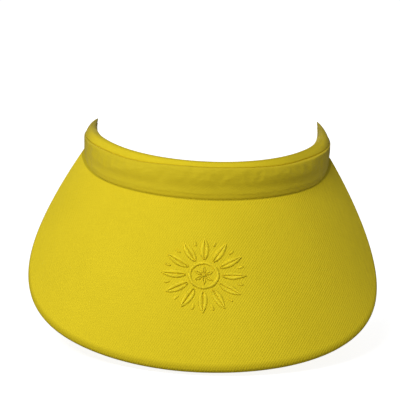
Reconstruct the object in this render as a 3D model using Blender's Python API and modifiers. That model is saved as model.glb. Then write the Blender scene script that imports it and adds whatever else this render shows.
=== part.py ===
"""Clip-on sun visor: a stiffened cloth brim sewn to a padded spring band with two free arms.

Units are metres and +Z is up. The wearer looks along -Y. The origin is the middle of the
head opening, level with the band's top rim at the forehead. Every layer is its own solid,
and touching layers keep a gap of 0.3 mm. "Turn" is the angle around the head, 0 at the
forehead and positive towards +X. "Inset" is the distance from the band's outer face
towards the head, and "drop" is the distance below the band's top rim.
"""

import math

import bmesh
import bpy
from mathutils import Vector

# Head band, seen from above: two half ellipses that meet at the temples.
HALF_WIDTH = 0.079
FRONT_DEPTH = 0.085
BACK_DEPTH = 0.100

# Head band, seen from the side. The lower edge rises along the sides up to the arm tips.
BAND_HEIGHT = 0.0214
RIM_RISE = 0.0099
TIP_SAG = 0.0020
TIP_SAG_START = math.radians(60.0)
TAPER_START = math.radians(39.5)
TAPER_END = math.radians(110.0)
TAPER_POWER = 2.75

# The cover meets the binding at this drop. Where the band is lower than LOW_BAND, what lies
# below this seam moves up in proportion.
SEAM_DROP = 0.0041
LOW_BAND = 0.0150

# Where the free arms leave the stiff front, and where each layer of an arm ends.
FLEX_TURN = math.radians(87.5)
FLEX_GAP = math.radians(0.22)
COVER_END = math.radians(102.0)
FOAM_END = math.radians(98.0)
SPRING_END = math.radians(96.0)
SWEATBAND_END = math.radians(101.0)
BINDING_END = math.radians(105.0)

# Band layers: (inset of the outer face, inset of the inner face, drop of the top edge,
# height of the bottom edge above the band's lower edge).
FOAM_SECTION = (0.0015, 0.0038, 0.0075, 0.0015)
SPRING_SECTION = (0.0041, 0.0053, 0.0054, 0.0025)
SWEATBAND_SECTION = (0.0056, 0.0077, 0.0019, 0.0004)

# The outer cover rolls over the foam from the seam, runs down the front of the band and
# turns in below the foam. The roll is (inset, drop) of the middle of the cloth.
BAND_CLOTH = 0.0008
COVER_ROLL = ((0.0036, SEAM_DROP), (0.0024, 0.0043), (0.0011, 0.0055), (0.0004, 0.0080))
COVER_TURN_IN = 0.0046

# The binding leans back over the rim and runs down the head side: (inset, drop) of the
# middle of the cloth. The last drop is the longest that the inner leg gets.
BINDING_PROFILE = ((0.0034, 0.0033), (0.0034, 0.0027), (0.0066, 0.0004), (0.0083, 0.0009))
BINDING_LEG_INSET = 0.00845
BINDING_LEG_DROP = 0.0060
BINDING_LEG_MARGIN = 0.0004

# Brim: straight lines that leave the band's lower edge and slope down and outwards.
BRIM_END = math.radians(86.0)
BRIM_BASE_OUTSET = 0.0011
BRIM_LENGTH = 0.1128
BRIM_SIDE_SHORTENING = 0.0525
BRIM_CORNER_POWER = 5.2
BRIM_SLOPE = math.radians(47.9)
BRIM_SIDE_SLOPE = math.radians(6.8)
BRIM_FAN = 0.79

# Brim layers, measured down from the top cover's upper face. The layers that the top cover
# wraps are narrower by INNER_WIDTH.
BRIM_CLOTH = 0.0005
BRIM_LAST_COLUMN = 0.998
INNER_WIDTH = 0.975
BACKING_TOP = 0.0008
BACKING_THICKNESS = 0.0003
BOARD_TOP = 0.0014
BOARD_THICKNESS = 0.0012
UNDER_COVER_TOP = 0.0029
BRIM_THICKNESS = 0.0034
BOARD_EDGE_MARGIN = 0.0013
UNDER_COVER_EDGE_MARGIN = 0.0009

# Round embroidered motif: a ring of pointed rays in the middle of the brim.
MOTIF_ALONG = 0.052
MOTIF_RADIUS = 0.0245
MOTIF_HOLE = 0.0030
MOTIF_NOTCH = 0.34
MOTIF_RAYS = 12
MOTIF_LIFT = 0.0003
MOTIF_THICKNESS = 0.0006
BACKING_RADIUS = 0.0270

# Sewing threads.
THREAD_RADIUS = 0.00025
JOIN_THREAD_RADIUS = 0.00035
JOIN_THREAD_INSET = 0.0030
JOIN_THREAD_BELOW = 0.0009
BINDING_THREAD_INSET = 0.00935
BINDING_THREAD_DROP = 0.0048

YELLOW = (0.68, 0.53, 0.03)
YELLOW_THREAD = (0.72, 0.55, 0.03)
CREAM = (0.78, 0.74, 0.60)
WHITE = (0.80, 0.80, 0.78)
NATURAL_PLASTIC = (0.72, 0.72, 0.68)

FRONT_SEGMENTS = 26
ARM_SEGMENTS = 6
BRIM_COLUMNS = 30
BRIM_ROWS = 7


def clear_scene():
    """Remove every object that the starting scene holds."""
    for old in list(bpy.data.objects):
        bpy.data.objects.remove(old, do_unlink=True)


def make_material(name, colour, roughness):
    """Return a Principled material without metal."""
    material = bpy.data.materials.new(name)
    material.use_nodes = True
    material.diffuse_color = (*colour, 1.0)
    shader = material.node_tree.nodes["Principled BSDF"]
    shader.inputs["Base Color"].default_value = (*colour, 1.0)
    shader.inputs["Roughness"].default_value = roughness
    shader.inputs["Metallic"].default_value = 0.0
    return material


# ---- the shapes that every layer follows ---------------------------------------------


def band_point(turn, inset, height):
    """Return a point at this turn and inset, at an absolute height."""
    depth = FRONT_DEPTH if abs(turn) <= math.pi / 2 else BACK_DEPTH
    outline = Vector((HALF_WIDTH * math.sin(turn), -depth * math.cos(turn), height))
    outward = Vector((depth * math.sin(turn), -HALF_WIDTH * math.cos(turn), 0.0)).normalized()
    return outline - inset * outward


def rim_height(turn):
    """Height of the band's top rim: it rises towards the back and sags a little at the tips."""
    sag = max(0.0, (abs(turn) - TIP_SAG_START) / (TAPER_END - TIP_SAG_START))
    return RIM_RISE * (1.0 - math.cos(turn)) - TIP_SAG * sag ** 2


def band_height(turn):
    """Distance from the top rim down to the band's lower edge."""
    taper = max(0.0, (abs(turn) - TAPER_START) / (TAPER_END - TAPER_START))
    return BAND_HEIGHT * (1.0 - taper ** TAPER_POWER)


def lower_edge(turn):
    """Height of the band's lower edge."""
    return rim_height(turn) - band_height(turn)


def low_drop(turn, drop):
    """Drop of a point that has this drop where the band is high."""
    room = min(1.0, (band_height(turn) - SEAM_DROP) / (LOW_BAND - SEAM_DROP))
    return drop - max(0.0, drop - SEAM_DROP) * (1.0 - room)


def brim_length(turn):
    """Length of the brim from the band to its edge, which rounds off to nothing at the sides."""
    side = turn / BRIM_END
    rounding = math.sqrt(max(0.0, 1.0 - abs(side) ** BRIM_CORNER_POWER))
    return (BRIM_LENGTH - BRIM_SIDE_SHORTENING * side ** 2) * rounding


def brim_surface(turn, along):
    """Point on the brim's upper face, this far from the band."""
    slope = BRIM_SLOPE + BRIM_SIDE_SLOPE * (turn / BRIM_END) ** 2
    heading = BRIM_FAN * turn
    ahead = Vector((math.sin(heading), -math.cos(heading), 0.0))
    direction = math.cos(slope) * ahead - Vector((0.0, 0.0, math.sin(slope)))
    return band_point(turn, -BRIM_BASE_OUTSET, lower_edge(turn)) + along * direction


def brim_point(turn, along, depth):
    """Point this far below the brim's upper face."""
    step = 0.001
    across = brim_surface(turn + step, along) - brim_surface(turn - step, along)
    forward = brim_surface(turn, along + step) - brim_surface(turn, along - step)
    upward = forward.cross(across).normalized()
    return brim_surface(turn, along) - depth * upward


def motif_point(angle, radius, depth):
    """Point of a disc that lies on the brim around the motif's middle."""
    along = MOTIF_ALONG + radius * math.cos(angle)
    spread = HALF_WIDTH + BRIM_FAN * math.cos(BRIM_SLOPE) * along
    return brim_point(radius * math.sin(angle) / spread, along, depth)


# ---- how the solids are made ---------------------------------------------------------


def add_object(collection, name, data, material):
    """Put mesh or curve data in the scene under this name."""
    data.materials.append(material)
    made = bpy.data.objects.new(name, data)
    collection.objects.link(made)
    return made


def add_cloth(collection, name, material, thickness, columns, rows, surface, closed=False):
    """Bend a flat grid over a surface and give it a thickness, half on each side.

    surface takes two numbers from 0 to 1 and returns a point. A closed grid is welded
    where its last column meets its first.
    """
    shape = bmesh.new()
    bmesh.ops.create_grid(shape, x_segments=columns, y_segments=rows, size=0.5)
    for vertex in shape.verts:
        vertex.co = surface(vertex.co.x + 0.5, vertex.co.y + 0.5)
    if closed:
        bmesh.ops.remove_doubles(shape, verts=shape.verts, dist=0.00001)
    mesh = bpy.data.meshes.new(name)
    shape.to_mesh(mesh)
    shape.free()
    mesh.shade_smooth()
    made = add_object(collection, name, mesh, material)
    solidify = made.modifiers.new("thickness", "SOLIDIFY")
    solidify.thickness = thickness
    solidify.offset = 0.0
    solidify.use_even_offset = True
    return made


def add_band_strip(collection, name, material, turns, section, segments):
    """A flat strip standing on edge, one layer of the band."""
    outer, inner, top_drop, bottom_rise = section

    def surface(u, v):
        turn = turns[0] + u * (turns[1] - turns[0])
        top = rim_height(turn) - low_drop(turn, top_drop)
        bottom = lower_edge(turn) + bottom_rise
        return band_point(turn, (outer + inner) / 2, bottom + v * (top - bottom))

    return add_cloth(collection, name, material, inner - outer, segments, 2, surface)


def add_band_profile(collection, name, material, turns, profile, segments):
    """A cloth folded to a profile along the band.

    profile takes a turn and returns the (inset, height) points of the cloth's middle.
    """
    last = len(profile(0.0)) - 1

    def surface(u, v):
        turn = turns[0] + u * (turns[1] - turns[0])
        inset, height = profile(turn)[round(v * last)]
        return band_point(turn, inset, height)

    return add_cloth(collection, name, material, BAND_CLOTH, segments, last, surface)


def cover_profile(turn):
    """The outer cover: over the shoulder, down the front, then in below the foam."""
    rim = rim_height(turn)
    bottom = lower_edge(turn) + BAND_CLOTH / 2
    roll = tuple((inset, rim - low_drop(turn, drop)) for inset, drop in COVER_ROLL)
    return *roll, (BAND_CLOTH / 2, bottom), (COVER_TURN_IN, bottom)


def binding_profile(turn):
    """The binding: up from the seam, back over the rim and down on the head side."""
    rim = rim_height(turn)
    leg_drop = min(BINDING_LEG_DROP, band_height(turn) - BINDING_LEG_MARGIN)
    over_the_rim = tuple((inset, rim - drop) for inset, drop in BINDING_PROFILE)
    return *over_the_rim, (BINDING_LEG_INSET, rim - leg_drop)


def add_brim_layer(collection, name, material, depth, thickness, width, edge_margin, wrap=0.0):
    """One layer of the brim. With a wrap, its edge turns down over the layers below."""
    middle = depth + thickness / 2
    last = BRIM_ROWS + 1 if wrap else BRIM_ROWS

    def surface(u, v):
        side = BRIM_LAST_COLUMN * math.sin(math.pi * (u - 0.5))
        row = round(v * last)
        along = (brim_length(side * BRIM_END) - edge_margin) * min(1.0, row / BRIM_ROWS)
        turned_down = wrap if row > BRIM_ROWS else 0.0
        return brim_point(side * width * BRIM_END, along, middle + turned_down)

    return add_cloth(collection, name, material, thickness, BRIM_COLUMNS, last, surface)


def add_thread(collection, name, material, points, radius):
    """A sewing thread through these points."""
    curve = bpy.data.curves.new(name, "CURVE")
    curve.dimensions = "3D"
    curve.bevel_depth = radius
    curve.bevel_resolution = 1
    curve.use_fill_caps = True
    spline = curve.splines.new("POLY")
    spline.points.add(len(points) - 1)
    for spline_point, point in zip(spline.points, points):
        spline_point.co = (*point, 1.0)
    return add_object(collection, name, curve, material)


# ---- the sub-parts -------------------------------------------------------------------


def build_brim(collection, materials):
    """Cover, embroidery, backing, board and under cover, from the top down."""
    wrap = BRIM_THICKNESS - BRIM_CLOTH / 2
    cloth = materials["cloth"]
    add_brim_layer(collection, "brim_top_cover", cloth, 0.0, BRIM_CLOTH, 1.0, 0.0, wrap)
    add_brim_layer(
        collection, "brim_board", materials["board"], BOARD_TOP, BOARD_THICKNESS,
        INNER_WIDTH, BOARD_EDGE_MARGIN,
    )
    add_brim_layer(
        collection, "brim_under_cover", cloth, UNDER_COVER_TOP, BRIM_CLOTH,
        INNER_WIDTH, UNDER_COVER_EDGE_MARGIN,
    )


def build_embroidery(collection, materials):
    """The raised ring of rays on the brim and the stabiliser cloth behind it."""

    def rays(u, v):
        angle = 2.0 * math.pi * u
        ray = abs(math.cos(MOTIF_RAYS * angle / 2.0))
        tip = MOTIF_RADIUS * (1.0 - MOTIF_NOTCH * (1.0 - ray))
        radius = MOTIF_HOLE + v * (tip - MOTIF_HOLE)
        return motif_point(angle, radius, -MOTIF_LIFT - MOTIF_THICKNESS / 2)

    def disc(u, v):
        radius = MOTIF_HOLE / 2 + v * (BACKING_RADIUS - MOTIF_HOLE / 2)
        return motif_point(2.0 * math.pi * u, radius, BACKING_TOP + BACKING_THICKNESS / 2)

    add_cloth(
        collection, "embroidery_motif", materials["thread"], MOTIF_THICKNESS,
        4 * MOTIF_RAYS, 3, rays, closed=True,
    )
    add_cloth(
        collection, "embroidery_backing", materials["backing"], BACKING_THICKNESS,
        24, 3, disc, closed=True,
    )


def build_band_section(collection, materials, suffix, ends, segments):
    """All the layers of one stretch of the band. ends maps a layer to its (first, last) turn."""
    strips = (
        ("band_foam", "foam", FOAM_SECTION),
        ("spring_strip", "spring", SPRING_SECTION),
        ("sweatband", "terry", SWEATBAND_SECTION),
    )
    for layer, material, section in strips:
        add_band_strip(
            collection, f"{layer}_{suffix}", materials[material], ends[layer], section, segments
        )
    folded = (("band_cover", cover_profile), ("top_binding", binding_profile))
    for layer, profile in folded:
        add_band_profile(
            collection, f"{layer}_{suffix}", materials["cloth"], ends[layer], profile, segments
        )
    first, last = ends["top_binding"]
    margin = 2.0 * FLEX_GAP
    turns = [
        first + margin + (last - first - 2.0 * margin) * step / (2 * segments)
        for step in range(2 * segments + 1)
    ]
    points = [
        band_point(turn, BINDING_THREAD_INSET, rim_height(turn) - thread_drop(turn))
        for turn in turns
    ]
    add_thread(
        collection, f"binding_stitching_{suffix}", materials["thread"], points, THREAD_RADIUS
    )


def thread_drop(turn):
    """Drop of the binding's sewing line, which rises where the binding's leg gets short."""
    return min(BINDING_THREAD_DROP, band_height(turn) * 0.6)


def build_band(collection, materials):
    """The stiff front of the band and the two free arms behind it."""
    layers = ("band_cover", "band_foam", "spring_strip", "sweatband", "top_binding")
    front = {layer: (-FLEX_TURN, FLEX_TURN) for layer in layers}
    build_band_section(collection, materials, "front", front, FRONT_SEGMENTS)
    tips = dict(zip(layers, (COVER_END, FOAM_END, SPRING_END, SWEATBAND_END, BINDING_END)))
    start = FLEX_TURN + FLEX_GAP
    for suffix, side in (("left", -1.0), ("right", 1.0)):
        arm = {layer: tuple(sorted((side * start, side * tips[layer]))) for layer in layers}
        build_band_section(collection, materials, suffix, arm, ARM_SEGMENTS)


def build_join_stitching(collection, materials):
    """The thread that closes the band's lower edge onto the brim."""
    count = 3 * FRONT_SEGMENTS
    turns = [BRIM_END * (2.0 * step / count - 1.0) for step in range(count + 1)]
    points = [
        band_point(turn, JOIN_THREAD_INSET, lower_edge(turn) - JOIN_THREAD_BELOW)
        for turn in turns
    ]
    add_thread(
        collection, "brim_join_stitching", materials["thread"], points, JOIN_THREAD_RADIUS
    )


def main():
    """Build the sun visor."""
    clear_scene()
    collection = bpy.data.collections.new("sun_visor")
    bpy.context.scene.collection.children.link(collection)
    materials = {
        "cloth": make_material("yellow_twill", YELLOW, 0.85),
        "thread": make_material("yellow_thread", YELLOW_THREAD, 0.50),
        "terry": make_material("yellow_terry", YELLOW, 0.95),
        "foam": make_material("cream_foam", CREAM, 0.90),
        "board": make_material("white_board", WHITE, 0.50),
        "backing": make_material("white_backing", WHITE, 0.90),
        "spring": make_material("spring_plastic", NATURAL_PLASTIC, 0.35),
    }
    build_brim(collection, materials)
    build_embroidery(collection, materials)
    build_band(collection, materials)
    build_join_stitching(collection, materials)


main()
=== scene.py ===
"""Looks of the clip-on sun visor: twill brim with an embroidered sunburst, padded spring band.

Units are metres, in the same frame as the CAD solids: +Z up and the wearer looking along -Y.
"Turn" is the angle around the head, 0 at the forehead and positive towards +X. "Outset" is
the distance out from the band's outer face and "drop" the distance below its top rim. Left is
the -X side, which is on the left of a picture taken from the front.
"""

import math

import bmesh
import bpy
import numpy as np
from mathutils import Matrix, Vector


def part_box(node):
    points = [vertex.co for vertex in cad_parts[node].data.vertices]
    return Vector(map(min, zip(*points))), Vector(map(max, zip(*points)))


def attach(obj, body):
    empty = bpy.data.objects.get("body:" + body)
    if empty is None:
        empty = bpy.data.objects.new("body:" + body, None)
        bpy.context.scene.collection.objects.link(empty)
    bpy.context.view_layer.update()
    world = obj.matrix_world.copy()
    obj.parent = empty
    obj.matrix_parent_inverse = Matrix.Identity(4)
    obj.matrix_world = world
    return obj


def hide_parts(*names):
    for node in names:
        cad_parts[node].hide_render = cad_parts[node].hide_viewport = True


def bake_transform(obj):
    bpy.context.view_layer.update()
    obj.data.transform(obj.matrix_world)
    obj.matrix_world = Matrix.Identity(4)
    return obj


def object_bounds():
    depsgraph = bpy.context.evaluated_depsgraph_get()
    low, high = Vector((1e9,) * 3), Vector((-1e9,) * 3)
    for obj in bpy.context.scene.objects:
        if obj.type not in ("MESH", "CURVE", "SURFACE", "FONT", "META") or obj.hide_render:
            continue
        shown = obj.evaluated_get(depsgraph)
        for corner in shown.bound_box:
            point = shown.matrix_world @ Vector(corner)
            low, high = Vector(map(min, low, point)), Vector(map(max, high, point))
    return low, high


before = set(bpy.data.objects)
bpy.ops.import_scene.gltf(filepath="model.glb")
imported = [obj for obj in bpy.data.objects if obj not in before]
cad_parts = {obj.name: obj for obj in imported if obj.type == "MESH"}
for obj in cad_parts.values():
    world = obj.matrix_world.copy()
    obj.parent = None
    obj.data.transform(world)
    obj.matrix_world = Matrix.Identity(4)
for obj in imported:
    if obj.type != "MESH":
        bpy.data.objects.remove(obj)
cad_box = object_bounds()

MM = 0.001

# The band's plan and side shape, as in the CAD solids.
HALF_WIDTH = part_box("band_cover_front")[1].x
FRONT_DEPTH = -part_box("band_cover_front")[0].y
BACK_DEPTH = 0.100
BAND_HEIGHT = 21.4 * MM
RIM_RISE = 9.9 * MM
TIP_SAG = 2.0 * MM
TIP_SAG_START = math.radians(60.0)
TAPER_START = math.radians(39.5)
TAPER_END = math.radians(110.0)
TAPER_POWER = 2.75
ARM_END = math.radians(109.8)
TIP_ROUNDING = math.radians(1.5)
TIP_CLOSING = 0.02
THINNING_START = math.radians(78.0)
THINNING_POWER = 1.6
THINNEST = 0.08
TIP_OUTSET = -0.9 * MM

# The seam between binding and cover sinks along the sides, on this visor more on the left.
# Towards the arms the section gets rounder, and the seam runs down onto its outer side.
SEAM_DROP = 3.1 * MM
SEAM_SINK_LEFT = 1.9 * MM
SEAM_SINK_RIGHT = 1.4 * MM
SINK_START = math.radians(8.0)
SINK_END = math.radians(42.0)
LOWEST_SEAM = 0.45
SHOULDER_DROP = 10.0 * MM
ARM_SHOULDER = 1.8 * MM
LOWEST_SHOULDER = 0.7
SECTION_THICKNESS = 9.0 * MM
SECTION_MIDDLE = -4.0 * MM
ROUNDER_START = math.radians(50.0)
ROUNDER_END = math.radians(88.0)
ROUNDNESS = 2.6
ARM_FULLNESS = 0.16

# The cloth gets thinner where the band is lower than LOW_BAND, and most at the arms' tips.
LOW_BAND = 14.0 * MM
TIP_CLOTH_LOSS = 0.9
THINNEST_CLOTH = 0.05

# The brim's shape, as in the CAD solids but for a little skew, as it is cut and sewn by hand.
BRIM_END = math.radians(86.0)
BRIM_BASE_OUTSET = 1.1 * MM
BRIM_LENGTH = 112.8 * MM
BRIM_SIDE_SHORTENING = 52.5 * MM
BRIM_CORNER_POWER = 5.2
BRIM_SKEW = 0.008
BRIM_SLOPE = math.radians(47.9)
BRIM_SIDE_SLOPE = math.radians(6.8)
BRIM_FAN = 0.79
BRIM_TUCK = 1.8 * MM
BRIM_EDGE_REACH = 1.4 * MM
BRIM_EDGE_DEPTH = 1.75 * MM
BRIM_HEM = 5.0 * MM
BRIM_WAVINESS = 0.15 * MM
# Painted shade along the brim's edge, from this far inside it out to the edge.
BRIM_EDGE_SHADE_WIDTH = 2.0 * MM
TOP_COVER_CLOTH = 0.45 * MM
UNDER_COVER_CLOTH = 0.35 * MM
UNDER_COVER_INSET = 3.6 * MM
UNDER_COVER_DEPTH = 3.6 * MM
BRIM_COLUMNS = 121
BRIM_ROWS = 36

# How the under cover's edge turns up to the board, as (out, down) steps in mm.
UNDER_COVER_LIP = ((0.25, -0.05), (0.4, -0.22), (0.38, -0.42))

# The arms of this visor don't hang quite level: the left tip is lower, the right one higher.
ARM_LEAN = 2.0 * MM

# The embroidered sunburst, as in the CAD solid. Each RISE is how far its stitches arch up.
MOTIF_ALONG = 52.0 * MM
RAY_COUNT = 12
RAY_START = 10.4 * MM
RAY_END = 24.5 * MM
RAY_HALF_WIDTH = 2.75 * MM
RAY_RISE = 0.62 * MM
SEED_CENTRE = 21.6 * MM
SEED_HALF_LENGTH = 1.7 * MM
SEED_HALF_WIDTH = 0.75 * MM
SEED_RISE = 0.45 * MM
PETAL_START = 1.3 * MM
PETAL_END = 5.9 * MM
PETAL_HALF_WIDTH = 1.25 * MM
PETAL_RISE = 0.5 * MM
RING_INNER = 7.1 * MM
RING_OUTER = 9.2 * MM
RING_RISE = 0.65 * MM
CORE_INNER = 0.2 * MM
CORE_OUTER = 1.2 * MM
CORE_RISE = 0.6 * MM
SATIN_PITCH = 0.42 * MM
SATIN_RADIUS = 0.23 * MM
SATIN_DIP = 0.1 * MM

# The rows of sewing.
SEWING_RADIUS = 0.25 * MM
SEWING_RISE = 0.2 * MM
SEWING_DIP = 0.35 * MM
BINDING_STITCH_END = math.radians(105.0)
BINDING_STITCH_OUTSET = -9.15 * MM
BINDING_STITCH_DROP = 4.9 * MM
JOIN_STITCH_OUTSET = -3.0 * MM
JOIN_STITCH_DROP = 22.2 * MM
JOIN_END = math.radians(84.0)

# How far the twill lines lean on the flat cloth, and the painted shade in the crease where brim
# and band meet.
TWILL_ANGLE = math.radians(29.0)
CREASE_START = 0.6 * MM
CREASE_WIDTH = 0.9 * MM
CREASE_SHADE = 1.3

# Painted shade on the cloth at its folds, edges, crease and arms, as dark as it gets from 1 /
# the share below up.
PAINTED_SHADE_SHARE = 0.55
UNDER_SHADE = 1.8
BEHIND_SHADE = 1.2
# Painted shade over the arms, growing from the first turn to the second.
ARM_SHADE = 1.8
ARM_SHADE_START = math.radians(62.0)
ARM_SHADE_END = math.radians(98.0)

# Where on a cross-section it is under the band and behind the rim, in mm, for the painted shade
# there.
UNDER_DROP = 21.2
BEHIND_OUTSET = -5.2
BEHIND_WIDTH = 1.6
BEHIND_DROP = 3.5

# The band's meshes, and the simulation of its padded layers.
BAND_COLUMNS = 161
SETTLING_FRAMES = 20
SETTLING_PRESSURE = 4.0
ARM_HELD_FROM = math.radians(100.0)

# Cross-sections at the forehead, as (outset, drop) in mm.
COVER_PROFILE = (
    (-5.0, 21.7), (-2.0, 22.4), (-0.4, 22.75), (0.75, 22.4), (1.4, 21.6), (1.65, 20.5),
    (1.45, 19.0), (0.95, 17.2), (0.5, 15.3), (0.35, 13.5), (0.42, 11.9), (0.4, 10.2),
    (0.15, 8.2), (-0.25, 6.4), (-0.8, 4.9), (-1.5, 3.8), (-2.3, 3.15), (-3.0, 2.95),
    (-3.6, 3.1), (-4.2, 3.5),
)
BINDING_PROFILE = (
    (-4.4, 3.3), (-3.9, 3.35), (-3.55, 3.05), (-3.6, 2.6), (-4.2, 2.0), (-5.0, 1.2),
    (-6.0, 0.4), (-7.1, 0.0), (-8.1, 0.3), (-8.75, 1.3), (-9.0, 3.0), (-9.0, 5.2),
    (-8.8, 6.1), (-8.2, 6.3),
)
SWEATBAND_PROFILE = (
    (-7.7, 4.6), (-7.9, 6.0), (-8.5, 7.4), (-9.0, 10.5), (-9.0, 15.0), (-8.8, 19.4),
    (-8.2, 21.0), (-7.0, 21.8), (-5.2, 21.7),
)


# ---- the shapes ------------------------------------------------------------------------


def rim_height(turn):
    """Height of the band's top rim."""
    sag = np.maximum(0.0, (np.abs(turn) - TIP_SAG_START) / (TAPER_END - TIP_SAG_START))
    level = RIM_RISE * (1.0 - np.cos(turn)) - TIP_SAG * sag ** 2
    return level + ARM_LEAN * np.sign(turn) * sag ** 2


def band_height(turn):
    """Distance from the top rim down to the band's lower edge."""
    taper = np.maximum(0.0, (np.abs(turn) - TAPER_START) / (TAPER_END - TAPER_START))
    return BAND_HEIGHT * (1.0 - taper ** TAPER_POWER)


def outward(turn):
    """The level direction that the band's outer face looks in."""
    depth = np.where(np.abs(turn) <= math.pi / 2, FRONT_DEPTH, BACK_DEPTH)
    across = depth * np.sin(turn)
    ahead = -HALF_WIDTH * np.cos(turn)
    length = np.hypot(across, ahead)
    return np.stack([across / length, ahead / length, 0.0 * turn], axis=-1)


def outline(turn):
    """Point of the band's outer face seen from above, at height 0."""
    depth = np.where(np.abs(turn) <= math.pi / 2, FRONT_DEPTH, BACK_DEPTH)
    return np.stack([HALF_WIDTH * np.sin(turn), -depth * np.cos(turn), 0.0 * turn], axis=-1)


def band_point(turn, outset, drop):
    """Point at this turn, this far out from the outer face and below the rim."""
    point = outline(turn) + outward(turn) * np.asarray(outset)[..., None]
    point[..., 2] = rim_height(turn) - drop
    return point


def arm_thinning(turn):
    """How much of its thickness the band has lost towards an arm's tip, from 0 to 1."""
    share = (np.abs(turn) - THINNING_START) / (ARM_END - THINNING_START)
    return np.clip(share, 0.0, 1.0) ** THINNING_POWER


def ease(value, start, end):
    """0 before start, 1 after end and smooth in between."""
    share = np.clip((value - start) / (end - start), 0.0, 1.0)
    return share * share * (3.0 - 2.0 * share)


def soft_least(first, second, sharpness=6.0):
    """The lesser of two lengths, without a kink where they cross."""
    return (first ** -sharpness + second ** -sharpness) ** (-1.0 / sharpness)


def section_drop(turn, drop):
    """Drop of a point that has this drop at the forehead."""
    height = band_height(turn)
    sink = np.where(turn < 0.0, SEAM_SINK_LEFT, SEAM_SINK_RIGHT)
    seam = SEAM_DROP + sink * ease(np.abs(turn), SINK_START, SINK_END)
    seam = soft_least(seam, LOWEST_SEAM * height)
    tight = ease(np.abs(turn), ROUNDER_START, ROUNDER_END)
    reach = (SHOULDER_DROP - SEAM_DROP) * (1.0 - tight) + ARM_SHOULDER * tight
    shoulder = soft_least(seam + reach, LOWEST_SHOULDER * height)
    on_strip = drop * seam / SEAM_DROP
    share = (drop - SEAM_DROP) / (SHOULDER_DROP - SEAM_DROP)
    on_shoulder = seam + share * (shoulder - seam)
    share = (drop - SHOULDER_DROP) / (BAND_HEIGHT - SHOULDER_DROP)
    on_face = shoulder + share * (height - shoulder)
    lower = np.where(drop < SHOULDER_DROP, on_shoulder, on_face)
    return np.where(drop < SEAM_DROP, on_strip, lower)


def section_outset(turn, outset, drop):
    """Outset of a point that has this outset and drop at the forehead, before thinning."""
    rounder = ease(np.abs(turn), ROUNDER_START, ROUNDER_END)
    depth = np.maximum(0.0, -outset / SECTION_THICKNESS)
    depth = depth ** (1.0 + (ROUNDNESS - 1.0) * rounder)
    bulge = np.maximum(0.0, outset) * (1.0 - rounder)
    rounded = bulge - SECTION_THICKNESS * depth
    middle = -0.5 * SECTION_THICKNESS
    fullness = ARM_FULLNESS * rounder * (1.0 - drop / BAND_HEIGHT)
    return middle + (rounded - middle) * (1.0 + fullness)


def section_point(turn, outset, drop):
    """Point of the band's cross-section, which gets thin and low towards an arm's tip."""
    thinning = arm_thinning(turn)
    thickness = 1.0 - (1.0 - THINNEST) * thinning
    outset = section_outset(turn, outset, drop) * thickness + TIP_OUTSET * thinning
    middle_outset = SECTION_MIDDLE * thickness + TIP_OUTSET * thinning
    middle_drop = 0.5 * band_height(turn)
    rounding = np.clip((np.abs(turn) - ARM_END + TIP_ROUNDING) / TIP_ROUNDING, 0.0, 1.0)
    close = np.sqrt(np.maximum(TIP_CLOSING, 1.0 - rounding ** 2))
    return band_point(
        turn,
        middle_outset + (outset - middle_outset) * close,
        middle_drop + (section_drop(turn, drop) - middle_drop) * close,
    )


def brim_length(turn):
    """Length of the brim from the band to its edge."""
    side = turn / BRIM_END
    rounding = np.sqrt(np.maximum(0.0, 1.0 - np.abs(side) ** BRIM_CORNER_POWER))
    skew = 1.0 + BRIM_SKEW * side
    return (BRIM_LENGTH - BRIM_SIDE_SHORTENING * side ** 2) * rounding * skew


def brim_surface(turn, along):
    """Point on the brim's upper face, this far from the band."""
    slope = BRIM_SLOPE + BRIM_SIDE_SLOPE * (turn / BRIM_END) ** 2
    heading = BRIM_FAN * turn
    level = np.cos(slope)
    direction = np.stack(
        [level * np.sin(heading), -level * np.cos(heading), -np.sin(slope)], axis=-1
    )
    return band_point(turn, BRIM_BASE_OUTSET + 0.0 * turn, band_height(turn)) + (
        direction * np.asarray(along)[..., None]
    )


def unit(vectors):
    """The vectors at length 1."""
    return vectors / np.maximum(1e-12, np.linalg.norm(vectors, axis=-1, keepdims=True))


def brim_normal(turn, along):
    """The direction that the brim's upper face looks in."""
    step = 0.001
    across = brim_surface(turn + step, along) - brim_surface(turn - step, along)
    forward = brim_surface(turn, along + step) - brim_surface(turn, along - step)
    return unit(np.cross(forward, across))


def spline_rows(points, count):
    """count points, evenly spaced on a smooth curve through the given ones."""
    points = np.asarray(points, float)
    ends = np.vstack([2 * points[0] - points[1], points, 2 * points[-1] - points[-2]])
    fine = []
    for before, start, end, after in zip(ends, ends[1:], ends[2:], ends[3:]):
        s = np.linspace(0.0, 1.0, 24, endpoint=False)[:, None]
        fine.append(
            0.5 * (
                2 * start + (end - before) * s
                + (2 * before - 5 * start + 4 * end - after) * s ** 2
                + (3 * start - before - 3 * end + after) * s ** 3
            )
        )
    fine = np.vstack([*fine, points[-1:]])
    steps = np.linalg.norm(np.diff(fine, axis=0), axis=-1)
    travelled = np.concatenate([[0.0], np.cumsum(steps)])
    wanted = np.linspace(0.0, travelled[-1], count)
    return np.stack([np.interp(wanted, travelled, fine[:, k]) for k in range(2)], axis=-1)


# ---- meshes ----------------------------------------------------------------------------


def new_object(name, vertices, faces, material):
    """A smooth mesh object."""
    mesh = bpy.data.meshes.new(name)
    mesh.from_pydata(np.asarray(vertices).tolist(), [], faces)
    mesh.validate()
    mesh.shade_smooth()
    made = bpy.data.objects.new(name, mesh)
    if material is not None:
        mesh.materials.append(material)
    bpy.context.scene.collection.objects.link(made)
    return made


def grid_faces(columns, rows):
    """Quads of a grid whose vertices run row by row within each column."""
    return [
        (c * rows + r, (c + 1) * rows + r, (c + 1) * rows + r + 1, c * rows + r + 1)
        for c in range(columns - 1)
        for r in range(rows - 1)
    ]


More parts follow.
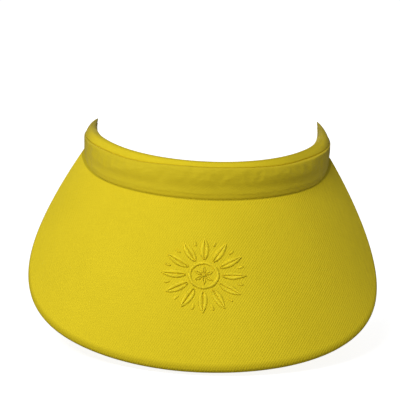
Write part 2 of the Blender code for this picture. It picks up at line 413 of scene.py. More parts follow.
def set_attribute(made, name, values):
    """Store numbers or vectors on the vertices, for the material to read."""
    values = np.asarray(values, np.float32)
    if values.ndim == 1:
        attribute = made.data.attributes.new(name, "FLOAT", "POINT")
        attribute.data.foreach_set("value", values)
    else:
        attribute = made.data.attributes.new(name, "FLOAT_VECTOR", "POINT")
        attribute.data.foreach_set("vector", values.ravel())


def subdivide(made):
    """Smooth the mesh by one step."""
    smooth = made.modifiers.new("smooth", "SUBSURF")
    smooth.levels = smooth.render_levels = 1
    smooth.boundary_smooth = "PRESERVE_CORNERS"


def thicken(made, thickness, shares=None):
    """Give a cloth its thickness, on the side away from its face.

    shares are each vertex's part of the thickness, where it isn't the same all over.
    """
    solid = made.modifiers.new("thickness", "SOLIDIFY")
    solid.thickness = thickness
    solid.offset = -1.0
    if shares is None:
        return
    group = made.vertex_groups.new(name="thickness")
    for vertex, share in enumerate(shares):
        group.add([vertex], float(share), "REPLACE")
    solid.vertex_group = "thickness"


def add_simulation(cloth, slack):
    """Cloth simulation that presses the cloth outward and lets it be larger by slack."""
    simulated = cloth.modifiers.new("cloth", "CLOTH")
    settings = simulated.settings
    settings.quality = 8
    settings.mass = 0.15
    settings.tension_stiffness = settings.compression_stiffness = 20.0
    settings.shear_stiffness = 8.0
    settings.bending_stiffness = 0.6
    settings.vertex_group_mass = "sewn"
    settings.use_pressure = True
    settings.uniform_pressure_force = SETTLING_PRESSURE
    settings.shrink_min = -slack
    settings.effector_weights.gravity = 0.0
    simulated.point_cache.frame_start = 1
    simulated.point_cache.frame_end = SETTLING_FRAMES


def settle(points, held, slack, most):
    """Let a padded strip of cloth swell over its filling and crease a little.

    held marks the grid points that are sewn down. The cloth is larger than its place by the
    share slack. No point moves further than most.
    """
    columns, rows = points.shape[:2]
    cloth = new_object("settling", points.reshape(-1, 3), grid_faces(columns, rows), None)
    pin = cloth.vertex_groups.new(name="sewn")
    pin.add(np.flatnonzero(held.ravel()).tolist(), 1.0, "REPLACE")
    add_simulation(cloth, slack)
    scene = bpy.context.scene
    for step in range(1, SETTLING_FRAMES + 1):
        scene.frame_set(step)
    graph = bpy.context.evaluated_depsgraph_get()
    settled = np.empty(columns * rows * 3, np.float32)
    cloth.evaluated_get(graph).data.vertices.foreach_get("co", settled)
    scene.frame_set(1)
    bpy.data.objects.remove(cloth)
    moved = settled.reshape(points.shape) - points
    distance = np.linalg.norm(moved, axis=-1, keepdims=True)
    return points + moved * most * np.tanh(distance / most) / np.maximum(distance, 1e-9)


# ---- materials -------------------------------------------------------------------------


class Nodes:
    """A small helper that adds and links shader nodes."""

    def __init__(self, name):
        self.material = bpy.data.materials.new(name)
        self.material.use_nodes = True
        self.tree = self.material.node_tree
        self.shader = self.tree.nodes["Principled BSDF"]

    def add(self, kind, **settings):
        """A node of this kind with these properties set."""
        node = self.tree.nodes.new(kind)
        for key, value in settings.items():
            setattr(node, key, value)
        return node

    def feed(self, socket, value):
        """Link a socket to this input, or set the input to a number or colour."""
        if isinstance(value, bpy.types.NodeSocket):
            self.tree.links.new(value, socket)
        else:
            socket.default_value = value

    def math(self, operation, *values, clamp=False):
        """Arithmetic on one, two or three values."""
        node = self.add("ShaderNodeMath", operation=operation, use_clamp=clamp)
        for socket, value in zip(node.inputs, values):
            self.feed(socket, value)
        return node.outputs[0]

    def between(self, value, low, high, to_low=0.0, to_high=1.0):
        """Map a range to another one, smoothly."""
        node = self.add("ShaderNodeMapRange", interpolation_type="SMOOTHSTEP")
        for socket, number in zip(node.inputs[:5], (value, low, high, to_low, to_high)):
            self.feed(socket, number)
        return node.outputs[0]

    def mix(self, share, first, second):
        """Mix two colours."""
        node = self.add("ShaderNodeMix", data_type="RGBA")
        self.feed(node.inputs["Factor"], share)
        self.feed(node.inputs[6], first)
        self.feed(node.inputs[7], second)
        return node.outputs[2]

    def attribute(self, name, output="Vector"):
        """A value stored on the mesh."""
        node = self.add("ShaderNodeAttribute", attribute_name=name)
        return node.outputs[output]

    def noise(self, place, scale, detail=2.0, roughness=0.5):
        """Soft noise from 0 to 1."""
        node = self.add("ShaderNodeTexNoise")
        self.feed(node.inputs["Vector"], place)
        node.inputs["Scale"].default_value = scale
        node.inputs["Detail"].default_value = detail
        node.inputs["Roughness"].default_value = roughness
        return node.outputs["Fac"]

    def stretched(self, place, scale):
        """Coordinates scaled along each axis."""
        node = self.add("ShaderNodeMapping")
        self.feed(node.inputs["Vector"], place)
        node.inputs["Scale"].default_value = scale
        return node.outputs["Vector"]

    def split(self, vector):
        """The parts of a vector."""
        node = self.add("ShaderNodeSeparateXYZ")
        self.feed(node.inputs[0], vector)
        return node.outputs

    def bump(self, height, distance, strength):
        """Turn a height into a bumped normal."""
        node = self.add("ShaderNodeBump")
        node.inputs["Strength"].default_value = strength
        node.inputs["Distance"].default_value = distance
        self.feed(node.inputs["Height"], height)
        return node.outputs["Normal"]


def ridges(nodes, distance, pitch):
    """A row of ridges from a distance in metres, 0.5 in the grooves and 1.5 on top."""
    turned = nodes.math("MULTIPLY", distance, 2.0 * math.pi / pitch)
    return nodes.math("MULTIPLY_ADD", nodes.math("SINE", turned), 0.5, 1.0)


def twill_weave(nodes, cloth, pitch):
    """Diagonal ridges of yarn, the fuzz on them, and the height of both."""
    wobble = nodes.noise(cloth, 260.0)
    turned_cloth = nodes.add("ShaderNodeVectorRotate", rotation_type="Z_AXIS")
    nodes.feed(turned_cloth.inputs["Vector"], cloth)
    turned_cloth.inputs["Angle"].default_value = TWILL_ANGLE
    diagonal, counter, _ = nodes.split(turned_cloth.outputs["Vector"])
    shaken = nodes.math("ADD", diagonal, nodes.math("MULTIPLY", wobble, pitch * 0.25))
    ridge = ridges(nodes, shaken, pitch)
    stagger = nodes.math("ADD", counter, nodes.math("MULTIPLY", diagonal, 0.5))
    yarn = ridges(nodes, stagger, pitch * 1.15)
    fuzz = nodes.noise(cloth, 2600.0, detail=3.0)
    weave = nodes.math("MULTIPLY", ridge, nodes.math("MULTIPLY_ADD", yarn, 0.4, 0.5))
    height = nodes.math("ADD", weave, nodes.math("MULTIPLY", fuzz, 0.25))
    return ridge, fuzz, height


def cloth_painted_shade(nodes, cloth, crease):
    """The share of painted shade, which is stored on the mesh, with more painted at the crease.
    """
    painted_shade = nodes.attribute("edge", "Fac")
    if crease is not None:
        # Painted shade in the crease where the brim meets the band.
        radius = nodes.add("ShaderNodeVectorMath", operation="LENGTH")
        nodes.feed(radius.inputs[0], cloth)
        far = crease + CREASE_WIDTH
        crease_shade = nodes.between(radius.outputs["Value"], crease, far, CREASE_SHADE, 0.0)
        painted_shade = nodes.math("MAXIMUM", painted_shade, crease_shade)
    return nodes.math("MULTIPLY", painted_shade, PAINTED_SHADE_SHARE, clamp=True)


def twill_material(
    name, light, dark, pitch, relief, roughness, sheen=0.12, gloss=0.25, crease=None
):
    """Twill: a diagonal weave with thick and thin yarn, cloudy dye and grimy edges.

    crease is the radius on the flat cloth where shade is painted into the crease below the
    band, if there is one.
    """
    nodes = Nodes(name)
    cloth = nodes.attribute("cloth")
    ridge, fuzz, height = twill_weave(nodes, cloth, pitch)
    slub = nodes.noise(nodes.stretched(cloth, (90.0, 1400.0, 1.0)), 1.0)
    cloudy = nodes.noise(cloth, 22.0, detail=3.0)
    # The grooves between the twill lines get painted shade.
    groove = nodes.between(ridge, 0.0, 0.75, 0.42, 0.0)
    colour = nodes.mix(groove, light, dark)
    colour = nodes.mix(nodes.between(slub, 0.35, 0.75, 0.0, 0.10), colour, dark)
    colour = nodes.mix(nodes.between(cloudy, 0.3, 0.75, 0.0, 0.10), colour, dark)
    # Painted shade: the colour goes towards a darker shade colour by the share of painted
    # shade.
    shade_colour = tuple(0.75 * part for part in dark[:3]) + (1.0,)
    colour = nodes.mix(cloth_painted_shade(nodes, cloth, crease), colour, shade_colour)
    nodes.feed(nodes.shader.inputs["Base Color"], colour)
    low, high = roughness
    nodes.feed(nodes.shader.inputs["Roughness"], nodes.between(fuzz, 0.3, 0.7, low, high))
    nodes.feed(nodes.shader.inputs["Normal"], nodes.bump(height, relief, 0.9))
    nodes.shader.inputs["Sheen Weight"].default_value = sheen
    nodes.shader.inputs["Sheen Roughness"].default_value = 0.45
    nodes.shader.inputs["Sheen Tint"].default_value = (1.0, 0.86, 0.15, 1.0)
    nodes.shader.inputs["Specular IOR Level"].default_value = gloss
    nodes.shader.inputs["Specular Tint"].default_value = (1.0, 0.86, 0.10, 1.0)
    return nodes.material


def thread_material(name, light, dark):
    """Shiny twisted thread."""
    nodes = Nodes(name)
    cloth = nodes.attribute("cloth")
    across, along, _ = nodes.split(cloth)
    twist = nodes.math("ADD", along, nodes.math("MULTIPLY", across, 1.2))
    strand = ridges(nodes, twist, 0.35 * MM)
    change = nodes.noise(nodes.attribute("place"), 160.0)
    colour = nodes.mix(nodes.between(change, 0.3, 0.7, 0.0, 0.45), light, dark)
    nodes.feed(nodes.shader.inputs["Base Color"], colour)
    nodes.feed(nodes.shader.inputs["Roughness"], nodes.between(change, 0.3, 0.7, 0.32, 0.45))
    nodes.feed(nodes.shader.inputs["Normal"], nodes.bump(strand, 0.05 * MM, 0.6))
    nodes.shader.inputs["Sheen Weight"].default_value = 0.12
    nodes.shader.inputs["Sheen Roughness"].default_value = 0.3
    nodes.shader.inputs["Sheen Tint"].default_value = (1.0, 0.88, 0.20, 1.0)
    nodes.shader.inputs["Specular IOR Level"].default_value = 0.55
    nodes.shader.inputs["Specular Tint"].default_value = (1.0, 0.90, 0.30, 1.0)
    return nodes.material


def terry_material(name, light, dark):
    """Towelling: small rounded loops with shaded gaps."""
    nodes = Nodes(name)
    cloth = nodes.attribute("cloth")
    loops = nodes.add("ShaderNodeTexVoronoi", feature="F1")
    nodes.feed(loops.inputs["Vector"], cloth)
    loops.inputs["Scale"].default_value = 1000.0
    gap = loops.outputs["Distance"]
    fuzz = nodes.noise(cloth, 3000.0, detail=3.0)
    cloudy = nodes.noise(cloth, 60.0)
    colour = nodes.mix(nodes.between(gap, 0.25, 0.7, 0.0, 0.75), light, dark)
    colour = nodes.mix(nodes.between(cloudy, 0.3, 0.7, 0.0, 0.2), colour, dark)
    nodes.feed(nodes.shader.inputs["Base Color"], colour)
    height = nodes.math("SUBTRACT", nodes.math("MULTIPLY", fuzz, 0.4), gap)
    nodes.feed(nodes.shader.inputs["Normal"], nodes.bump(height, 0.5 * MM, 0.9))
    nodes.feed(nodes.shader.inputs["Roughness"], nodes.between(fuzz, 0.3, 0.7, 0.88, 1.0))
    nodes.shader.inputs["Sheen Weight"].default_value = 0.3
    nodes.shader.inputs["Sheen Roughness"].default_value = 0.6
    nodes.shader.inputs["Sheen Tint"].default_value = (1.0, 0.88, 0.30, 1.0)
    nodes.shader.inputs["Specular Tint"].default_value = (1.0, 0.88, 0.30, 1.0)
    return nodes.material


def inner_material(name, light, dark, scale, relief, roughness, stretch=(1.0, 1.0, 1.0)):
    """Foam, board, stabiliser or spring: a mottled surface with fine relief."""
    nodes = Nodes(name)
    place = nodes.add("ShaderNodeTexCoord").outputs["Object"]
    grain = nodes.noise(nodes.stretched(place, stretch), scale, detail=4.0, roughness=0.6)
    stains = nodes.noise(place, 35.0, detail=3.0)
    colour = nodes.mix(nodes.between(grain, 0.3, 0.7), light, dark)
    colour = nodes.mix(nodes.between(stains, 0.45, 0.8, 0.0, 0.5), colour, dark)
    nodes.feed(nodes.shader.inputs["Base Color"], colour)
    nodes.feed(nodes.shader.inputs["Normal"], nodes.bump(grain, relief, 0.8))
    low, high = roughness
    nodes.feed(nodes.shader.inputs["Roughness"], nodes.between(grain, 0.3, 0.7, low, high))
    return nodes.material


BRIGHT_YELLOW = (0.82, 0.64, 0.021, 1.0)
DEEP_YELLOW = (0.51, 0.39, 0.008, 1.0)
brim_twill = twill_material(
    "brim_twill", BRIGHT_YELLOW, DEEP_YELLOW, 1.3 * MM, 0.16 * MM, (0.78, 0.92),
    crease=HALF_WIDTH / (BRIM_FAN * math.cos(BRIM_SLOPE)) + BRIM_TUCK + CREASE_START,
)
binding_twill = twill_material(
    "binding_twill", BRIGHT_YELLOW, DEEP_YELLOW, 0.8 * MM, 0.08 * MM, (0.6, 0.75)
)
band_satin = twill_material(
    "band_satin", (0.72, 0.56, 0.020, 1.0), (0.45, 0.35, 0.008, 1.0), 0.7 * MM, 0.1 * MM,
    (0.45, 0.58), sheen=0.08, gloss=0.34,
)
embroidery_thread = thread_material(
    "embroidery_thread", (0.98, 0.79, 0.022, 1.0), (0.80, 0.63, 0.014, 1.0)
)
sewing_thread = thread_material(
    "sewing_thread", (0.72, 0.56, 0.04, 1.0), (0.50, 0.38, 0.02, 1.0)
)
terry = terry_material("terry", (0.78, 0.61, 0.045, 1.0), (0.44, 0.33, 0.018, 1.0))


# ---- brim ------------------------------------------------------------------------------


def brim_columns(inset, count):
    """Base and edge points of straight lines across the brim, with its edge brought in.

    Returns the base points, the edge points, the directions that point out of the brim and
    up from it at the edge, and the turns of the base points.
    """
    side = np.sin(np.linspace(-0.5, 0.5, count) * math.pi)
    turn = side * BRIM_END
    length = brim_length(turn)
    edge = brim_surface(turn, length)
    tangent = unit(np.gradient(edge, axis=0))
    upward = brim_normal(turn, np.maximum(length, 2.0 * MM))
    out = unit(np.cross(tangent, upward))
    base_turn = side * (BRIM_END - inset / HALF_WIDTH)
    base = brim_surface(base_turn, 0.0 * turn - BRIM_TUCK)
    return base, edge - out * inset, out, upward, base_turn


def flat_place(turn, along):
    """Where a point of the brim lies on the flat cloth that it was cut from."""
    fan = BRIM_FAN * math.cos(BRIM_SLOPE)
    reach = HALF_WIDTH / fan + along
    return np.stack([reach * np.sin(fan * turn), -reach * np.cos(fan * turn), 0.0 * turn], -1)


def brim_cloth(inset, depth, lip, columns, rows):
    """Points, flat coordinates and painted edge shade of a layer of brim cloth.

    depth is how far it lies below the upper face. lip holds (out, down) steps from the edge
    that the cloth turns through.
    """
    base, edge, out, upward, turn = brim_columns(inset, columns)
    share = np.linspace(0.0, 1.0, rows)[None, :, None]
    sheet = base[:, None] + (edge - base)[:, None] * share
    waviness = BRIM_WAVINESS * np.sin(9.0 * turn)[:, None, None] * share ** 2
    normal = brim_normal(
        np.repeat(turn[:, None], rows, 1),
        np.linalg.norm(edge - base, axis=-1)[:, None] * share[..., 0],
    )
    sheet = sheet - normal * (depth - waviness)
    lip = np.asarray(lip)
    turned = (
        sheet[:, -1:] + out[:, None] * lip[None, :, :1] - upward[:, None] * lip[None, :, 1:]
    )
    points = np.concatenate([sheet, turned], axis=1)
    length = np.linalg.norm(edge - base, axis=-1)
    travelled = np.cumsum(np.hypot(*np.diff(np.vstack([[0.0, 0.0], lip]), axis=0).T))
    along = np.concatenate(
        [length[:, None] * share[..., 0], length[:, None] + travelled[None]], axis=1
    )
    place = flat_place(np.repeat(turn[:, None], along.shape[1], 1), along)
    # Painted shade along the brim's edge and round its turned lip.
    near_edge = np.clip(1.0 - (length[:, None] - along) / BRIM_EDGE_SHADE_WIDTH, 0.0, 1.0)
    return points, place, near_edge


def edge_arc(reach, depth, turn_in, steps=7):
    """(out, down) steps of a cloth that turns round an edge and back underneath."""
    angle = np.linspace(0.0, math.pi, steps)[1:]
    arc = np.stack([reach * np.sin(angle), depth * (1.0 - np.cos(angle))], axis=-1)
    under = [(-turn_in * k / 2, 2 * depth) for k in (1, 2)]
    return np.vstack([arc, under])


def make_brim_cover(name, inset, depth, lip, thickness, faces_down=False):
    """One cover of the brim, sewn over the board."""
    points, place, near_edge = brim_cloth(inset, depth, lip, BRIM_COLUMNS, BRIM_ROWS)
    faces = grid_faces(*points.shape[:2])
    if not faces_down:
        faces = [face[::-1] for face in faces]
    cover = new_object(name, points.reshape(-1, 3), faces, brim_twill)
    set_attribute(cover, "cloth", place.reshape(-1, 3))
    # The painted shade along the edge, for the material.
    set_attribute(cover, "edge", near_edge.ravel())
    thicken(cover, thickness)
    subdivide(cover)
    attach(cover, "front")
    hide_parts(f"{name}_cover")


def make_brim():
    """The top cover, which wraps round the board's edge, and the under cover."""
    hem = edge_arc(BRIM_EDGE_REACH, BRIM_EDGE_DEPTH, BRIM_HEM)
    make_brim_cover("brim_top", BRIM_EDGE_REACH, 0.0, hem, TOP_COVER_CLOTH)
    lip = np.array(UNDER_COVER_LIP) * MM
    make_brim_cover(
        "brim_under", UNDER_COVER_INSET, UNDER_COVER_DEPTH, lip, UNDER_COVER_CLOTH,
        faces_down=True,
    )


# ---- band ------------------------------------------------------------------------------


def arc_positions(turns):
    """Distance along the band's outer face from the forehead to each turn."""
    fine = np.linspace(-ARM_END, ARM_END, 2001)
    steps = np.linalg.norm(np.diff(outline(fine), axis=0), axis=-1)
    travelled = np.concatenate([[0.0], np.cumsum(steps)])
    travelled -= np.interp(0.0, fine, travelled)
    return np.interp(turns, fine, travelled)


def band_turns(count):
    """Turns spaced evenly along the band, from tip to tip, with a finer spacing at the tips."""
    fine = np.linspace(-ARM_END, ARM_END, 2001)
    wanted = np.linspace(-1.0, 1.0, count) * arc_positions(ARM_END)
    even = np.interp(wanted, arc_positions(fine), fine)
    tip = ARM_END - TIP_ROUNDING * (1.0 - np.sin(np.linspace(0.1, 0.5, 5) * math.pi))
    middle = even[np.abs(even) < tip[0] - 0.005]
    return np.concatenate([-tip[::-1], middle, tip])


def band_mesh(profile, columns, rows):
    """Points and cloth coordinates of a strip of the band with this cross-section."""
    outset, drop = spline_rows(profile, rows).T * MM
    turns = band_turns(columns)
    points = section_point(turns[:, None], outset[None], drop[None])
    down = np.concatenate([[0.0], np.cumsum(np.hypot(np.diff(outset), np.diff(drop)))])
    place = np.zeros_like(points)
    place[..., 0] = arc_positions(turns)[:, None]
    place[..., 1] = -down[None]
    return turns, points, place


def band_painted_shade(turns, outset, drop):
    """How much painted shade the cloth gets at these turns and points of a profile in mm.

    It is painted where the cloth folds in, under the band and behind its rim, and on the arms.
    """
    # Painted shade under the band's lower roll and behind its rim.
    under = UNDER_SHADE * np.clip(drop - UNDER_DROP, 0.0, 1.0)
    behind = BEHIND_SHADE * np.clip((BEHIND_OUTSET - outset) / BEHIND_WIDTH, 0.0, 1.0)
    folds = np.maximum(under, behind * (drop < BEHIND_DROP))
    # Painted shade over the arms, darker towards their tips.
    arms_shaded = ARM_SHADE * ease(np.abs(turns), ARM_SHADE_START, ARM_SHADE_END)
    return np.maximum(folds[None], arms_shaded[:, None])


def make_band_layer(name, profile, material, rows, thickness, swell=None):
    """One layer of the band as a left and a right half.

    swell holds the shares of rows at the two edges that are sewn down, the slack of the cloth
    and how far it may move. Returns the halves, and the whole strip's points and their flat
    coordinates.
    """
    turns, points, place = band_mesh(profile, BAND_COLUMNS, rows)
    # Painted shade at the folds and over the arms.
    painted_shade = band_painted_shade(turns, *spline_rows(profile, rows).T)
    if swell is not None:
        sewn, slack, most = swell
        across = np.linspace(0.0, 1.0, rows)
        held = (across < sewn[0]) | (across > 1.0 - sewn[1])
        held = held[None, :] | (np.abs(turns) > ARM_HELD_FROM)[:, None]
        points = settle(points, held, slack, most)
    whole = new_object(name, points.reshape(-1, 3), grid_faces(len(turns), rows), material)
    set_attribute(whole, "cloth", place.reshape(-1, 3))
    set_attribute(whole, "edge", painted_shade.ravel())
    size = np.minimum(1.0, band_height(turns) / LOW_BAND)
    size = size * (1.0 - TIP_CLOTH_LOSS * arm_thinning(turns))
    thicken(whole, thickness, np.repeat(np.maximum(THINNEST_CLOTH, size), rows))
    subdivide(whole)
    halves = []
    for side, sign in (("left", -1), ("right", 1)):
        made = take_half(whole, f"{name}_cloth_{side}", sign)
        bend_at_arm(made)
        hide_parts(f"{name}_front", f"{name}_{side}")
        halves.append(made)
    bpy.data.objects.remove(whole)
    return halves, points, place


def take_half(whole, name, sign):
    """The finished half of a band layer on one side of the forehead, closed where it is cut."""
    graph = bpy.context.evaluated_depsgraph_get()
    mesh = bpy.data.meshes.new_from_object(
        whole.evaluated_get(graph), preserve_all_data_layers=True, depsgraph=graph
    )
    mesh.name = name
    cut = bmesh.new()
    cut.from_mesh(mesh)
    cloth = cut.verts.layers.float_vector["cloth"]
    beyond = -1e-4 * MM
    unwanted = [v for v in cut.verts if sign * v[cloth].x < beyond]
    bmesh.ops.delete(cut, geom=unwanted, context="VERTS")
    rim = [e for e in cut.edges if e.is_boundary]
    for edge in rim:
        edge.smooth = False
    bmesh.ops.contextual_create(cut, geom=rim)
    cut.to_mesh(mesh)
    cut.free()
    made = bpy.data.objects.new(name, mesh)
    bpy.context.scene.collection.objects.link(made)
    return made


def bend_at_arm(made):
    """Bake the object's placement into its mesh."""
    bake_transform(made)


def make_band():
    """Cover, binding and sweatband."""
    cover, _, _ = make_band_layer(
        "band_cover", COVER_PROFILE, band_satin, 40, 0.4 * MM,
        swell=((0.34, 0.12), 0.012, 0.4 * MM),
    )
    binding, points, place = make_band_layer(
        "top_binding", BINDING_PROFILE, binding_twill, 30, 0.4 * MM
    )
    sweatband, _, _ = make_band_layer(
        "sweatband", SWEATBAND_PROFILE, terry, 26, 0.6 * MM,
        swell=((0.15, 0.15), 0.03, 0.5 * MM),
    )
    middle = len(points) // 2
    for made, half in zip(binding, (slice(None, middle + 1), slice(middle, None))):
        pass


# ---- threads ---------------------------------------------------------------------------


def tube_faces(count, steps, sides):
    """Faces of many closed tubes whose points run ring by ring."""
    faces = []
    for tube in range(count):
        first = tube * steps * sides
        for low in range(first, first + (steps - 1) * sides, sides):
            for k in range(sides):
                after = (k + 1) % sides
                faces.append((low + k, low + sides + k, low + sides + after, low + after))
        faces.append(tuple(first + k for k in range(sides)))
        faces.append(tuple(first + (steps - 1) * sides + k for k in reversed(range(sides))))
    return faces


def new_stitches(name, paths, upward, radius, material, flatness=0.8, sides=6):
    """Many short threads as closed tubes.

    paths holds a row of points for each stitch, and upward the side that each point shows.
    """
    count, steps = paths.shape[:2]
    tangent = unit(np.gradient(paths, axis=1))
    raised = unit(upward - (upward * tangent).sum(-1, keepdims=True) * tangent)
    across = np.cross(tangent, raised)
    angle = np.arange(sides) * 2.0 * math.pi / sides
    ring = across[:, :, None] * np.cos(angle)[:, None]
    ring = ring + raised[:, :, None] * np.sin(angle)[:, None] * flatness
    girth = radius * (1.0 - 0.65 * np.abs(np.linspace(-1.0, 1.0, steps)) ** 6)
    points = paths[:, :, None] + ring * girth[None, :, None, None]
    faces = tube_faces(count, steps, sides)
    made = new_object(name, points.reshape(-1, 3), faces, material)
    travelled = np.cumsum(np.linalg.norm(np.diff(paths, axis=1), axis=-1), axis=1)
    length = np.concatenate([np.zeros((count, 1)), travelled], axis=1)
    thread = np.zeros((count, steps, sides, 3))
    thread[..., 0] = angle * radius
    thread[..., 1] = length[:, :, None]
    set_attribute(made, "cloth", thread.reshape(-1, 3))
    middle = np.repeat(paths[:, steps // 2], steps * sides, axis=0)
    set_attribute(made, "place", middle)
    return made


def motif_paths(starts, ends, rise, steps=7):
    """Stitches between points of the motif's plane, arched up by rise in their middle.

    Points are (across, along) from the motif's centre, along pointing to the brim's edge.
    """
    share = np.linspace(0.0, 1.0, steps)[None, :, None]
    flat = starts[:, None] + (ends - starts)[:, None] * share
    along = MOTIF_ALONG + flat[..., 1]
    turn = flat[..., 0] / (HALF_WIDTH + BRIM_FAN * math.cos(BRIM_SLOPE) * along)
    normal = brim_normal(turn, along)
    arch = np.sin(share[..., 0] * math.pi) ** 0.7
    lift = (rise + SATIN_DIP) * arch - SATIN_DIP
    return brim_surface(turn, along) + normal * lift[..., None], normal


def turned(points, angle):
    """Points of the motif's plane turned about its centre."""
    across, along = points[..., 0], points[..., 1]
    cos, sin = math.cos(angle), math.sin(angle)
    return np.stack([across * cos + along * sin, along * cos - across * sin], axis=-1)


def leaf_width(share, half_width):
    """Half of a pointed leaf's width at this share of its length."""
    return half_width * np.sin(math.pi * share ** 0.9) ** 0.75


def leaf_stitches(start, end, half_width, slant):
    """Both halves of a pointed leaf along the axis, sewn from its middle line to its edge."""
    length = end - start
    count = int(length / SATIN_PITCH)
    share = (np.arange(count) + 0.5) / count
    reach = np.minimum(share + slant * leaf_width(share, half_width) / length, 1.0)
    width = leaf_width(np.minimum(reach, 0.995), half_width)
    vein = 0.12 * MM
    starts, ends = [], []
    for sign in (-1.0, 1.0):
        starts.append(np.stack([sign * vein + 0.0 * share, start + length * share], axis=-1))
        ends.append(np.stack([sign * width, start + length * reach], axis=-1))
    return np.vstack(starts), np.vstack(ends)


def seed_stitches(centre, half_length, half_width):
    """A small oval along the axis, sewn almost straight across."""
    count = int(2 * half_length / SATIN_PITCH)
    share = (np.arange(count) + 0.5) / count * 2.0 - 1.0
    width = half_width * np.sqrt(1.0 - share ** 2) + 0.15 * MM
    along = centre + half_length * share
    slant = 0.2 * MM
    return np.stack([-width, along], axis=-1), np.stack([width, along + slant], axis=-1)


def ring_stitches(inner, outer, slant):
    """A ring sewn across its width."""
    count = int(math.pi * (inner + outer) / SATIN_PITCH)
    angle = np.arange(count) * 2.0 * math.pi / count
    starts = np.stack([inner * np.sin(angle), inner * np.cos(angle)], axis=-1)
    angle = angle + slant
    ends = np.stack([outer * np.sin(angle), outer * np.cos(angle)], axis=-1)
    return starts, ends


def make_embroidery():
    """A sunburst of twelve satin-stitched rays with seeds between them and a small rosette."""
    parts = []
    ray = leaf_stitches(RAY_START, RAY_END, RAY_HALF_WIDTH, 0.75)
    seed = seed_stitches(SEED_CENTRE, SEED_HALF_LENGTH, SEED_HALF_WIDTH)
    petal = leaf_stitches(PETAL_START, PETAL_END, PETAL_HALF_WIDTH, 0.6)
    step = 2.0 * math.pi / RAY_COUNT
    for k in range(RAY_COUNT):
        parts.append([turned(p, k * step) for p in ray] + [RAY_RISE])
        parts.append([turned(p, (k + 0.5) * step) for p in seed] + [SEED_RISE])
    for k in range(RAY_COUNT // 2):
        parts.append([turned(p, 2 * k * step) for p in petal] + [PETAL_RISE])
    parts.append([*ring_stitches(RING_INNER, RING_OUTER, 0.1), RING_RISE])
    parts.append([*ring_stitches(CORE_INNER, CORE_OUTER, 0.3), CORE_RISE])
    made = [motif_paths(starts, ends, rise) for starts, ends, rise in parts]
    paths, normals = (np.concatenate(part) for part in zip(*made))
    motif = new_stitches("embroidery", paths, normals, SATIN_RADIUS, embroidery_thread)
    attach(motif, "front")
    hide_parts("embroidery_motif")


def sampled(wanted, travelled, values):
    """Vectors along a line, at the wanted distances from its start."""
    return np.stack([np.interp(wanted, travelled, values[:, k]) for k in range(3)], axis=-1)


def row_of_stitches(path, upward, stitch, gap, steps=6):
    """Cut a line of sewing into stitches whose ends dip into the cloth."""
    lengths = np.linalg.norm(np.diff(path, axis=0), axis=-1)
    travelled = np.concatenate([[0.0], np.cumsum(lengths)])
    count = int(travelled[-1] / (stitch + gap))
    pitch = travelled[-1] / count
    share = np.linspace(0.0, 1.0, steps)
    wanted = (np.arange(count)[:, None] + 0.5) * pitch + (share[None] - 0.5) * (pitch - gap)
    side = unit(sampled(wanted, travelled, upward))
    arch = np.sin(share * math.pi) ** 0.6
    lift = (SEWING_RISE + SEWING_DIP) * arch - SEWING_DIP
    return sampled(wanted, travelled, path) + side * lift[None, :, None], side


def make_binding_stitching():
    """The row of sewing along the binding on the head side."""
    for side, sign in (("left", -1.0), ("right", 1.0)):
        turns = sign * np.linspace(0.0, BINDING_STITCH_END, 400)
        path = section_point(turns, BINDING_STITCH_OUTSET, BINDING_STITCH_DROP)
        paths, upward = row_of_stitches(path, -outward(turns), 2.3 * MM, 0.5 * MM)
        made = new_stitches(
            f"binding_stitches_{side}", paths, upward, SEWING_RADIUS, sewing_thread
        )
        bend_at_arm(made)
        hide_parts("binding_stitching_front", f"binding_stitching_{side}")


def make_join_stitching():
    """The stitches that hold the brim's layers to the band, seen from below."""
    turns = np.linspace(-JOIN_END, JOIN_END, 600)
    path = section_point(turns, JOIN_STITCH_OUTSET, JOIN_STITCH_DROP)
    below = np.zeros_like(path) - (0.0, 0.0, 1.0)
    paths, upward = row_of_stitches(path, below, 3.0 * MM, 0.6 * MM)
    made = new_stitches("join_stitches", paths, upward, SEWING_RADIUS, sewing_thread)
    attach(made, "front")
    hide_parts("brim_join_stitching")


# ---- inner layers ----------------------------------------------------------------------


def finish_inner_layers():
    """Materials of the CAD solids that stay: what the cloth hides or shows only at its ends."""
    foam = inner_material(
        "foam", (0.82, 0.78, 0.62, 1.0), (0.64, 0.58, 0.42, 1.0), 1400.0, 0.25 * MM, (0.85, 1.0)
    )
    board = inner_material(
        "board", (0.80, 0.80, 0.78, 1.0), (0.70, 0.70, 0.66, 1.0), 700.0, 0.03 * MM, (0.4, 0.55)
    )
    stabiliser = inner_material(
        "stabiliser", (0.84, 0.84, 0.82, 1.0), (0.68, 0.68, 0.65, 1.0), 1800.0, 0.12 * MM,
        (0.85, 1.0), stretch=(1.0, 0.3, 1.0),
    )
    spring = inner_material(
        "spring", (0.76, 0.76, 0.71, 1.0), (0.66, 0.66, 0.60, 1.0), 500.0, 0.02 * MM,
        (0.3, 0.45), stretch=(1.0, 1.0, 6.0),
    )
    layers = {
        "brim_board": board, "embroidery_backing": stabiliser, "band_foam": foam,
        "spring_strip": spring,
    }
    for node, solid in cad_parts.items():
        for start, material in layers.items():
            if node.startswith(start):
                for place in solid.material_slots:
                    place.material = material


# ---- stage, light and camera -----------------------------------------------------------


def make_stage():
    """A plain pale floor below the visor."""
    low = cad_box[0].z - 1.0 * MM
    far = 3.0
    corners = [(-far, -far, low), (far, -far, low), (far, far, low), (-far, far, low)]
    floor = new_object("floor", corners, [(0, 1, 2, 3)], floor_material())


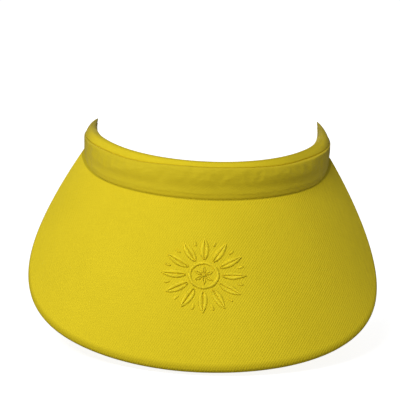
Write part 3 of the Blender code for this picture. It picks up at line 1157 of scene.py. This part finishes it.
def floor_material():
    """Pale matt paper that glows a little to the camera, so that it looks almost white."""
    nodes = Nodes("floor_paper")
    place = nodes.add("ShaderNodeTexCoord").outputs["Object"]
    grain = nodes.noise(place, 30.0)
    colour = nodes.mix(grain, (0.46, 0.46, 0.46, 1.0), (0.43, 0.43, 0.43, 1.0))
    nodes.feed(nodes.shader.inputs["Base Color"], colour)
    nodes.shader.inputs["Roughness"].default_value = 0.9
    distance = nodes.add("ShaderNodeVectorMath", operation="LENGTH")
    nodes.feed(distance.inputs[0], place)
    glow = nodes.between(distance.outputs["Value"], 0.25, 0.8, 0.86, 0.95)
    seen = nodes.add("ShaderNodeLightPath").outputs["Is Camera Ray"]
    nodes.shader.inputs["Emission Color"].default_value = (1.0, 1.0, 1.0, 1.0)
    nodes.feed(nodes.shader.inputs["Emission Strength"], nodes.math("MULTIPLY", glow, seen))
    return nodes.material


def add_area_light(name, place, size, power):
    """A square soft light that looks at the visor."""
    data = bpy.data.lights.new(name, "AREA")
    data.shape = "SQUARE"
    data.size = size
    data.energy = power
    made = bpy.data.objects.new(name, data)
    made.location = place
    direction = Vector((0.0, -0.05, -0.03)) - Vector(place)
    made.rotation_euler = direction.to_track_quat("-Z", "Y").to_euler()
    bpy.context.scene.collection.objects.link(made)


def make_lights():
    """A key light above on the left, a weak fill, a low back light and an even pale room."""
    world = bpy.data.worlds.new("studio")
    bpy.context.scene.world = world
    world.use_nodes = True
    tree = world.node_tree
    seen = tree.nodes.new("ShaderNodeLightPath")
    plain = tree.nodes["Background"]
    plain.inputs["Color"].default_value = (1.0, 1.0, 1.0, 1.0)
    strength = tree.nodes.new("ShaderNodeMapRange")
    strength.inputs["To Min"].default_value = 0.24
    strength.inputs["To Max"].default_value = 1.05
    tree.links.new(seen.outputs["Is Camera Ray"], strength.inputs["Value"])
    tree.links.new(strength.outputs["Result"], plain.inputs["Strength"])
    add_area_light("key", (-0.46, -0.63, 0.80), 0.6, 9.0)
    add_area_light("fill", (0.9, -1.1, 0.35), 1.0, 0.3)
    add_area_light("back", (-0.2, 1.3, 0.05), 1.0, 3.5)


def make_camera():
    """A long lens a little above the visor, rolled so that the visor leans in the picture.

    It stands 1 m from its target.
    """
    elevation, azimuth, roll = (math.radians(a) for a in (10.0, -0.485, 2.463))
    target = Vector((-3.0, 0.0, -37.3)) * MM
    level = math.cos(elevation)
    back = Vector((math.sin(azimuth) * level, -math.cos(azimuth) * level, math.sin(elevation)))
    right = (-back).cross(Vector((0.0, 0.0, 1.0))).normalized()
    up = right.cross(-back)
    turned_right = right * math.cos(roll) + up * math.sin(roll)
    turned_up = up * math.cos(roll) - right * math.sin(roll)
    data = bpy.data.cameras.new("camera")
    data.lens = 138.2
    data.sensor_width = 36.0
    camera = bpy.data.objects.new("camera", data)
    turning = Matrix((turned_right, turned_up, back)).transposed().to_4x4()
    camera.matrix_world = Matrix.Translation(target + back) @ turning
    bpy.context.scene.collection.objects.link(camera)
    bpy.context.scene.camera = camera


make_brim()
make_band()
make_embroidery()
make_binding_stitching()
make_join_stitching()
finish_inner_layers()
make_stage()
make_lights()
make_camera()
bpy.context.scene.view_settings.view_transform = "Standard"
